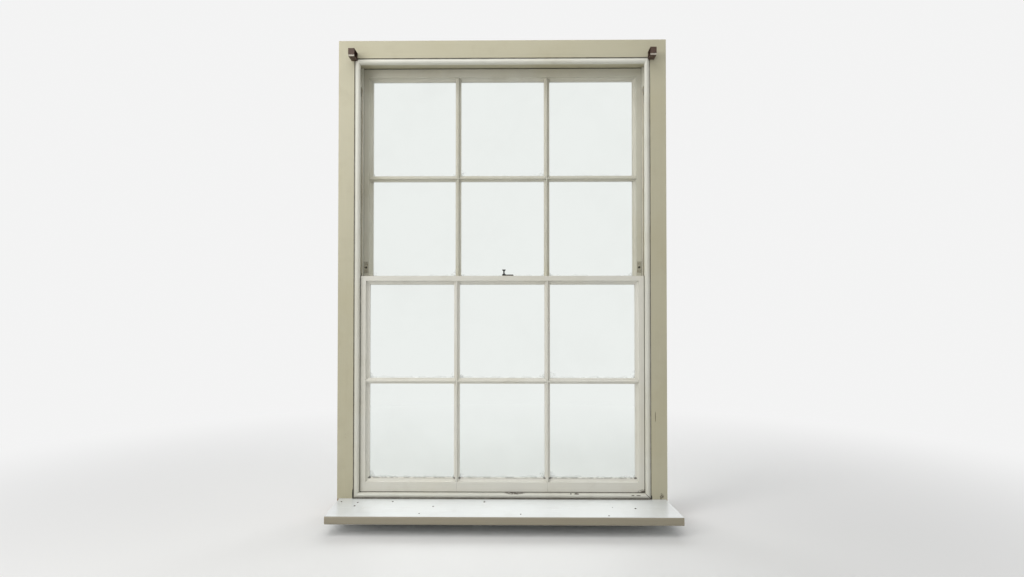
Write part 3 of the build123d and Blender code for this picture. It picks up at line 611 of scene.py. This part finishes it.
def window_glass(sash):
    """Old drawn glass: a little wavy, faintly green, with a film of dirt in its corners."""
    s = Surface(f"{sash}_glass")
    waves = s.noise((0.12, 0.05, 0.2), 1.0, 0.5, 40.0)
    specks = s.rise(s.noise(0.0022, 4.0, 0.6, 41.0), 0.52, 0.6)
    clouds = s.rise(s.noise(0.03, 4.0, 0.6, 42.0), 0.3, 0.7)
    across, _, level = s.parts(s.place)
    sides = [s.minus(s.apart(across, middle), half) for middle, half in lines_of(sash, 0)]
    ledges = []
    for middle, half in lines_of(sash, 2):
        above = s.minus(level, middle + half)
        ledges.append(s.total(above, s.product(s.calc("LESS_THAN", above, 0.0), FAR)))
    side, ledge = s.smallest(*sides), s.smallest(*ledges)
    edge = s.rise(ledge, s.between(clouds, 0.0, 0.014), 0.0)
    corner = s.rise(s.total(side, ledge), s.between(clouds, 0.004, 0.05), 0.0)
    film = s.product(s.largest(s.product(edge, 0.4), corner), s.total(0.1, s.product(specks, 0.5)))
    dust = s.product(s.rise(s.noise(0.35, 3.0, 0.6, 43.0), 0.4, 0.8), 0.03)
    soil = s.smallest(s.total(film, dust), 1.0)
    s.set(Base_Color=s.mix(soil, srgb(247, 251, 248), srgb(96, 96, 80)), IOR=1.45)
    s.set(Roughness=s.product(soil, 0.7), Transmission_Weight=s.inverse(soil))
    s.set(Normal=s.bump(waves, 0.0006))
    shadow = s.add("ShaderNodeLightPath").outputs["Is Shadow Ray"]
    s.blend_with(shadow, s.add("ShaderNodeBsdfTransparent").outputs[0])
    return s.material


def old_putty():
    """Hard linseed putty under paint, cracked and lifting in places, with painted shade in its corners.
    """
    s = Surface("old_putty")
    lumps = s.noise(0.012, 4.0, 0.6, 50.0)
    lines = s.apart(s.noise(0.012, 3.0, 0.6, 51.0), 0.5)
    crack = s.product(s.rise(lines, 0.009, 0.003), s.rise(s.noise(0.06, 2.0, 0.5, 52.0), 0.5, 0.6))
    colour = s.mix(s.rise(lumps, 0.4, 0.7), srgb(214, 210, 196), srgb(188, 182, 162))
    # Painted shade: darker where occlusion finds corners
    colour = s.mix(s.product(s.rise(s.crevice(0.012), 0.4, 0.9), 0.7), colour, srgb(80, 76, 58))
    colour = s.mix(s.product(crack, 0.6), colour, srgb(104, 96, 78))
    relief = s.total(lumps, s.product(crack, -1.0))
    s.set(Base_Color=colour, Roughness=0.6, Normal=s.bump(relief, 0.0008))
    return s.material


def cotton_cord():
    """Braided cord, greyed by handling, with two sets of strands that cross and painted shade between
    them.
    """
    s = Surface("cotton_cord")
    x, y, z = s.parts(s.place)
    around = s.total(x, y)
    strands = []
    for sign in (-1.0, 1.0):
        along = s.total(z, s.product(around, sign))
        wave = s.calc("SINE", s.product(along, 2 * math.pi / CORD_BRAID))
        strands.append(s.total(0.5, s.product(wave, 0.5)))
    weave = s.largest(*strands)
    fuzz = s.noise(0.0007, 3.0, 0.6, 60.0)
    soil = s.rise(s.noise(0.08, 4.0, 0.6, 61.0), 0.4, 0.75)
    # Painted shade: the valleys between the strands are darker
    colour = s.mix(s.rise(weave, 0.7, 0.4), srgb(208, 203, 187), srgb(160, 152, 132))
    colour = s.mix(s.product(soil, 0.45), colour, srgb(148, 138, 114))
    colour = s.shade(colour, s.between(fuzz, 0.9, 1.08))
    relief = s.total(weave, s.product(fuzz, 0.5))
    s.set(Base_Color=colour, Roughness=0.9, Sheen_Weight=0.2, Normal=s.bump(relief, 0.0004))
    return s.material


def cast_iron():
    """Weights as they came from the sand, brown with rust."""
    s = Surface("cast_iron")
    pits = s.noise(0.0025, 5.0, 0.65, 70.0)
    rust = s.rise(s.noise(0.03, 5.0, 0.65, 71.0), 0.42, 0.62)
    colour = s.mix(rust, srgb(62, 56, 52), srgb(112, 68, 42))
    s.set(Base_Color=colour, Metallic=0.35, Roughness=s.between(rust, 0.5, 0.85))
    s.set(Normal=s.bump(pits, 0.0007))
    return s.material


def worn_metal(name, metal, over, share, roughness=0.42, metallic=0.8, marks=None):
    """Metal under old paint that has come off in part. Share is how much of the paint is left."""
    s = Surface(name)
    patch = s.rise(s.noise(0.008, 5.0, 0.6, 80.0), 0.62 - 0.5 * share, 0.66 - 0.5 * share)
    scratches = s.noise((0.02, 0.0012, 0.0012), 3.0, 0.6, 81.0)
    # Occlusion darkens the crevices: painted shade, with soil
    soil = s.product(s.rise(s.crevice(0.006), 0.3, 0.9), 0.7)
    tone = s.shade(metal, s.between(s.noise(0.006, 4.0, 0.6, 82.0), 0.75, 1.2))
    colour = s.mix(patch, tone, s.shade(over, s.between(scratches, 0.9, 1.06)))
    colour = s.mix(soil, colour, srgb(46, 40, 32))
    if marks:
        colour = marks(s, colour)
    relief = s.total(patch, s.product(scratches, 0.5))
    dull = s.total(s.between(scratches, roughness - 0.08, roughness + 0.1), s.product(soil, 0.3))
    s.set(Base_Color=colour, Metallic=s.product(s.inverse(patch), metallic), Roughness=dull)
    s.set(Normal=s.bump(relief, 0.00015))
    return s.material


WHITE = srgb(221, 219, 209)
DULL_WHITE = srgb(198, 196, 182)
BEAD = srgb(219, 218, 207)
CREAM = srgb(190, 185, 160)
BOARD = srgb(230, 233, 233)
OUTSIDE = srgb(210, 207, 194)
ROOM = (0, -1, 0)
GARDEN = (0, 1, 0)
UP = (0, 0, 1)
DOWN = (0, 0, -1)


def per_side(*stems):
    """Names of the nodes that come as a left and a right one."""
    return [f"{stem}_{side}" for stem in stems for side in SIDES]


def finish_timber():
    """Gives each timber node its paint, with the grain along the piece."""
    plans = (
        ("lining_upright", CREAM, "z", {"faces": (ROOM,), "to_middle": True, "marks": lining_marks},
         per_side("inside_lining")),
        ("lining_level", CREAM, "x", {"faces": (ROOM, DOWN)},
         ("inside_lining_head",)),
        ("bead_upright", BEAD, "z", {"marks": upright_bead_marks},
         per_side("staff_bead", "parting_bead")),
        ("bead_level", BEAD, "x", {"marks": level_bead_marks},
         ("staff_bead_head", "staff_bead_sill")),
        ("pulley_stile", CREAM, "z", {"to_middle": True},
         per_side("pulley_stile", "pocket_piece")),
        ("head_board", CREAM, "x", {"faces": (DOWN,)},
         ("head",)),
        ("outside_upright", OUTSIDE, "z", {"faces": (GARDEN,), "to_middle": True, "weather": 0.7},
         per_side("outside_lining")),
        ("outside_level", OUTSIDE, "x", {"faces": (GARDEN, DOWN), "weather": 0.7},
         ("outside_lining_head",)),
        ("sill_paint", OUTSIDE, "x", {"faces": (GARDEN, UP), "weather": 1.0, "dirt": 1.3},
         ("sill",)),
        ("board_paint", BOARD, "x", {"age": 0.05, "dirt": 0.6, "gloss": 0.24, "marks": board_marks},
         ("window_board",)),
        ("lower_upright", WHITE, "z", {"age": 0.22, "marks": lower_sash_marks},
         per_side("lower_stile", "lower_bar")),
        ("lower_level", WHITE, "x", {"age": 0.22},
         ("lower_meeting_rail", "lower_cross_bars")),
        ("upper_upright", DULL_WHITE, "z", {"dirt": 1.2, "marks": stile_marks},
         per_side("upper_stile", "upper_bar")),
        ("upper_level", DULL_WHITE, "x", {"dirt": 1.2},
         ("upper_top_rail", "upper_meeting_rail", "upper_cross_bars")),
        ("bottom_rail", WHITE, "x", {"age": 0.22, "marks": rail_marks},
         ("lower_bottom_rail",)),
    )
    for name, colour, grain, options, members in plans:
        material = painted_timber(name, colour, grain, **options)
        for member in members:
            dress(member, material)
            soften(member, TIMBER_EDGE)
    bare = bare_timber("bare_upright", "z")
    for member in (*per_side("back_lining"), "parting_slips"):
        dress(member, bare)


def dress(node, material):
    """Gives a node one material."""
    for slot in nodes[node].material_slots:
        slot.link = "OBJECT"
        slot.material = material


def soften(node, width):
    """Takes the sharpness off the edges, as sanding and paint do."""
    piece = nodes[node]
    weld = piece.modifiers.new("weld", "WELD")
    weld.merge_threshold = SAME_POINT
    bevel = piece.modifiers.new("edge", "BEVEL")
    bevel.width = width
    bevel.segments = 2
    bevel.limit_method = "ANGLE"
    bevel.angle_limit = math.radians(EDGE_ANGLE)
    bevel.use_clamp_overlap = True
    normals = piece.modifiers.new("normals", "WEIGHTED_NORMAL")
    normals.keep_sharp = False


def finish_metal():
    """Gives each metal node its material. Nodes with fine holes keep their sharp edges."""
    plans = (
        (("plate_paint", srgb(120, 112, 92), srgb(176, 172, 156), 0.75),
         ("pulley_cases",)),
        (("wheel_metal", srgb(148, 138, 108), srgb(150, 146, 130), 0.35, 0.35, 0.9),
         per_side("lower_pulley_wheel", "upper_pulley_wheel")),
        (("black_metal", srgb(74, 69, 62), srgb(24, 23, 22), 0.74, 0.42, 0.6),
         ("fastener_arm",)),
        (("smeared_metal", srgb(52, 49, 45), srgb(150, 147, 136), 0.5, 0.45, 0.3),
         ("fastener_base", "fastener_keep")),
        (("stop_metal", srgb(140, 132, 108), srgb(172, 168, 152), 0.5, 0.4, 0.7, stop_marks),
         ("sash_stops",)),
        (("brown_metal", srgb(44, 30, 22), srgb(70, 48, 34), 0.6, 0.5, 0.2, bracket_marks),
         ("blind_brackets",)),
    )
    dressed = [(worn_metal(*look), members) for look, members in plans]
    dressed.append((cast_iron(), per_side("lower_weight", "upper_weight")))
    drilled = ("pulley_cases", "sash_stops", "fastener_base", "fastener_keep")
    for material, members in dressed:
        for member in members:
            dress(member, material)
            if member not in drilled:
                soften(member, METAL_EDGE)


def made(name, build, material, smooth=True):
    """New mesh piece from a bmesh."""
    mesh = bpy.data.meshes.new(name)
    build.to_mesh(mesh)
    build.free()
    mesh.materials.append(material)
    mesh.polygons.foreach_set("use_smooth", [smooth] * len(mesh.polygons))
    piece = bpy.data.objects.new(name, mesh)
    bpy.context.scene.collection.objects.link(piece)
    return piece


def sweep(build, points, radius, sides=CORD_SIDES, closed=False):
    """Round tube along points, with flat ends unless it is closed."""
    rings = []
    count = len(points)
    across = None
    for index, point in enumerate(points):
        before = points[index - 1] if closed or index else point
        after = points[(index + 1) % count] if closed or index < count - 1 else point
        along = (after - before).normalized()
        if across is None:
            across = along.orthogonal().normalized()
        across = (across - along * across.dot(along)).normalized()
        other = along.cross(across)
        ring = []
        for step in range(sides):
            angle = 2 * math.pi * step / sides
            offset = across * math.cos(angle) + other * math.sin(angle)
            ring.append(build.verts.new(point + offset * radius))
        rings.append(ring)
    pairs = list(zip(rings, rings[1:]))
    if closed:
        pairs.append((rings[-1], rings[0]))
    for first, second in pairs:
        for step in range(sides):
            after = (step + 1) % sides
            build.faces.new((first[step], first[after], second[after], second[step]))
    if not closed:
        build.faces.new(rings[0][::-1])
        build.faces.new(rings[-1])


def knot(build, centre):
    """Three-lobed knot of the cord's end."""
    points = []
    for step in range(KNOT_STEPS):
        turn = 2 * math.pi * step / KNOT_STEPS
        out = KNOT_LOOP + KNOT_TWIST * math.cos(3 * turn)
        points.append(centre + Vector((
            out * math.cos(2 * turn),
            out * math.sin(2 * turn),
            KNOT_TWIST * math.sin(3 * turn),
        )))
    sweep(build, points, KNOT_CORD, KNOT_SIDES, closed=True)


def cord_run(name, top, bottom, material):
    """Straight length of cord between two points, fixed in place."""
    build = bmesh.new()
    sweep(build, [top, bottom], CORD_RADIUS)
    piece = made(name, build, material)
    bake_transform(piece)
    return piece


def held_knot(name, centre, body, material):
    """Knot at the end of a cord, riding with what it is in."""
    build = bmesh.new()
    knot(build, centre)
    piece = made(name, build, material)
    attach(piece, body)
    return piece


def cord_over(name, axle, reach, sign, material):
    """Half turn of cord over a wheel, from the sash's side to the weight's."""
    arc = []
    for step in range(ARC_STEPS + 1):
        angle = math.pi * step / ARC_STEPS
        arc.append(axle + Vector((-sign * math.cos(angle), 0, math.sin(angle))) * reach)
    build = bmesh.new()
    sweep(build, arc, CORD_RADIUS)
    piece = made(name, build, material)
    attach(piece, "frame")
    return piece


def hang_cord(sash, side, material):
    """One cord: over the wheel, down to the stile and down to the weight."""
    sign = -1 if side == "left" else 1
    low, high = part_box(f"{sash}_pulley_wheel_{side}")
    axle = (low + high) / 2
    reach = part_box(f"{sash}_cords")[1].z - CORD_RADIUS - axle.z
    pieces = [cord_over(f"{sash}_cord_over_{side}", axle, reach, sign, material)]
    sash_knot, weight_knot = knot_levels(sash, axle)
    runs = (
        ("sash_side", -sign, sash_knot, f"{sash}_sash"),
        ("weight_side", sign, weight_knot, f"{sash}_weight_{side}"),
    )
    for label, way, level, body in runs:
        start = axle + Vector((way * reach, 0, 0))
        end = Vector((start.x, start.y, level))
        name = f"{sash}_cord_{label}_{side}"
        pieces.append(cord_run(name, start, end, material))
        pieces.append(held_knot(f"{name}_knot", end, body, material))
    for piece in pieces:
        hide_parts(f"{sash}_cords")


def hang_cords():
    """The two cords of each sash."""
    material = cotton_cord()
    for sash in SASHES:
        for side in SIDES:
            hang_cord(sash, side, material)


def knot_levels(sash, axle):
    """Levels of a cord's two knots, from the lowest points inside and outside the wheels' axles."""
    corners = [vertex.co for vertex in nodes[f"{sash}_cords"].data.vertices]
    inside = min(corner.z for corner in corners if abs(corner.x) < abs(axle.x))
    outside = min(corner.z for corner in corners if abs(corner.x) > abs(axle.x))
    radius = KNOT_LOOP + KNOT_TWIST + KNOT_CORD
    return inside + radius, outside + radius


def islands(node):
    """Point lists of the separate solids of a node."""
    build = bmesh.new()
    build.from_mesh(nodes[node].data)
    bmesh.ops.remove_doubles(build, verts=build.verts, dist=SAME_POINT)
    build.verts.ensure_lookup_table()
    seen = set()
    found = []
    for vert in build.verts:
        if vert in seen:
            continue
        group, queue = [], [vert]
        seen.add(vert)
        while queue:
            here = queue.pop()
            group.append(here.co.copy())
            for edge in here.link_edges:
                other = edge.other_vert(here)
                if other not in seen:
                    seen.add(other)
                    queue.append(other)
        found.append(group)
    build.free()
    return found


def corners_of(points):
    """Lowest and highest corner of the box round some points."""
    low = Vector([min(point[i] for point in points) for i in range(3)])
    high = Vector([max(point[i] for point in points) for i in range(3)])
    return low, high


def slotted_screw(build, tip, axis, radius, length, shank, turn):
    """Countersunk screw with a slot. Tip is the middle of its head, and axis points into the wood."""
    across = Matrix.Rotation(turn, 3, axis) @ axis.orthogonal().normalized()
    other = axis.cross(across)

    def point(u, v, depth):
        return build.verts.new(tip + across * u + other * v + axis * depth)

    start = math.asin(SLOT_WIDTH)
    halves = []
    for flip in (1, -1):
        arc = []
        for step in range(SCREW_STEPS + 1):
            angle = start + (math.pi - 2 * start) * step / SCREW_STEPS
            arc.append((flip * radius * math.cos(angle), flip * radius * math.sin(angle)))
        halves.append(arc)
    outline = halves[0] + halves[1]
    rim = [point(u, v, 0) for u, v in outline]
    first, second = rim[:SCREW_STEPS + 1], rim[SCREW_STEPS + 1:]
    slot_depth = SCREW_HEAD * SLOT_DEPTH
    floor = [point(*arc[end], slot_depth) for arc in halves for end in (0, -1)]
    for half in (first, second):
        build.faces.new(half[::-1])
    build.faces.new((first[0], first[-1], floor[1], floor[0]))
    build.faces.new((second[0], second[-1], floor[3], floor[2]))
    build.faces.new(floor)
    share = shank / radius
    neck = [point(u * share, v * share, SCREW_HEAD) for u, v in outline]
    foot = [build.verts.new(corner.co + axis * (length - SCREW_HEAD)) for corner in neck]
    slot_ends = {SCREW_STEPS: (floor[1], floor[2]), len(rim) - 1: (floor[3], floor[0])}
    for step in range(len(rim)):
        after = (step + 1) % len(rim)
        if step in slot_ends:
            near, far = slot_ends[step]
            build.faces.new((rim[step], near, neck[step]))
            build.faces.new((near, far, neck[after], neck[step]))
            build.faces.new((far, rim[after], neck[after]))
        else:
            build.faces.new((rim[step], rim[after], neck[after], neck[step]))
        build.faces.new((neck[step], neck[after], foot[after], foot[step]))
    build.faces.new(foot)


def fit_screw(build, points, turn):
    """Slotted screw in place of a plain one, whose points give its way, its head and its shank."""
    low, high = corners_of(points)
    size = high - low
    middle = (low + high) / 2
    long_way = max(range(3), key=lambda i: size[i])
    offsets = [point - middle for point in points]
    reach = {
        sign: max(offset.length for offset in offsets if offset[long_way] * sign > 0)
        for sign in (-1, 1)
    }
    inward = 1 if reach[-1] > reach[1] else -1
    axis = Vector([inward if i == long_way else 0 for i in range(3)])
    tip = middle - axis * size[long_way] / 2
    from_axis = [(offset - axis * offset.dot(axis)).length for offset in offsets]
    shank = min(distance for distance in from_axis if distance > LEAST_SHANK)
    slotted_screw(build, tip, axis, sorted(size)[1] / 2, size[long_way], shank, turn)


def fit_screws():
    """Slotted screws in place of the plain ones, each at its own angle."""
    look = (srgb(120, 114, 100), srgb(178, 173, 156), 0.55, 0.45, 0.7)
    material = worn_metal("screw_metal", *look)
    groups = (
        ("frame_screws", "frame"),
        ("upper_sash_screws", "upper_sash"),
        ("lower_sash_screws", "lower_sash"),
    )
    for node, body in groups:
        build = bmesh.new()
        for index, points in enumerate(islands(node)):
            fit_screw(build, points, FIRST_TURN + NEXT_TURN * index)
        bmesh.ops.recalc_face_normals(build, faces=build.faces)
        piece = made(f"{node}_slotted", build, material, smooth=False)
        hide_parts(node)
        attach(piece, body)


def set_floor():
    """Pale floor that runs out into the backdrop's tone for the rays that look at it."""
    s = Surface("floor")
    s.set(Base_Color=FLOOR_TONE, Roughness=0.9)
    away = s.vector("LENGTH", {0: s.place}).outputs["Value"]
    share = s.product(s.rise(away, FLOOR_NEAR, FLOOR_FAR), s.seen_rays())
    s.blend_with(share, s.add("ShaderNodeEmission", {"Color": PAPER}).outputs[0])
    build = bmesh.new()
    bmesh.ops.create_grid(build, x_segments=8, y_segments=8, size=FLOOR_HALF)
    made("floor", build, s.material)


def set_world():
    """Even surroundings, brighter for the rays that look at them than for the light they give."""
    world = bpy.data.worlds.new("surroundings")
    bpy.context.scene.world = world
    world.use_nodes = True
    light = ShaderTree(world.node_tree)
    background = light.tree.nodes["Background"]
    light.feed(background.inputs["Color"], PAPER)
    light.feed(background.inputs["Strength"], light.between(light.seen_rays(), FILL, 1.0))


def lamp(name, place, target, size, power, colour):
    """Soft lamp that looks at a target and isn't seen itself, only what it lights."""
    data = bpy.data.lights.new(name, "AREA")
    data.shape = "RECTANGLE"
    data.size, data.size_y = size
    data.energy = power
    data.color = colour
    light = bpy.data.objects.new(name, data)
    bpy.context.scene.collection.objects.link(light)
    light.location = place
    light.rotation_euler = (Vector(target) - Vector(place)).to_track_quat("-Z", "Y").to_euler()
    light.visible_camera = False
    light.visible_transmission = False


def set_lamps():
    """Soft light from the room's left, from the sky behind the window and from above."""
    lamp("room_lamp", (-2.1, -2.4, 2.1), (0, 0, 0.8), (1.6, 1.6), 34, (1.0, 0.99, 0.97))
    lamp("sky_lamp", (0.0, 2.6, 2.6), (0, -0.1, 0.5), (3.0, 2.2), 60, (0.97, 0.985, 1.0))
    lamp("top_lamp", (-0.4, -1.4, 3.4), (0, -0.1, 0.4), (2.4, 1.6), 30, (1.0, 1.0, 1.0))


def set_camera():
    """The photograph's view."""
    data = bpy.data.cameras.new("camera")
    data.lens = CAMERA_LENS
    camera = bpy.data.objects.new("camera", data)
    bpy.context.scene.collection.objects.link(camera)
    camera.location = CAMERA_PLACE
    camera.rotation_euler = (math.radians(90 + CAMERA_TILT), 0, math.radians(CAMERA_TURN))
    bpy.context.scene.camera = camera


bpy.context.scene.view_settings.view_transform = "Standard"
finish_timber()
finish_metal()
for sash in SASHES:
    dress(f"{sash}_putty", old_putty())
    dress(f"{sash}_panes", window_glass(sash))
hang_cords()
fit_screws()
set_floor()
set_world()
set_lamps()
set_camera()
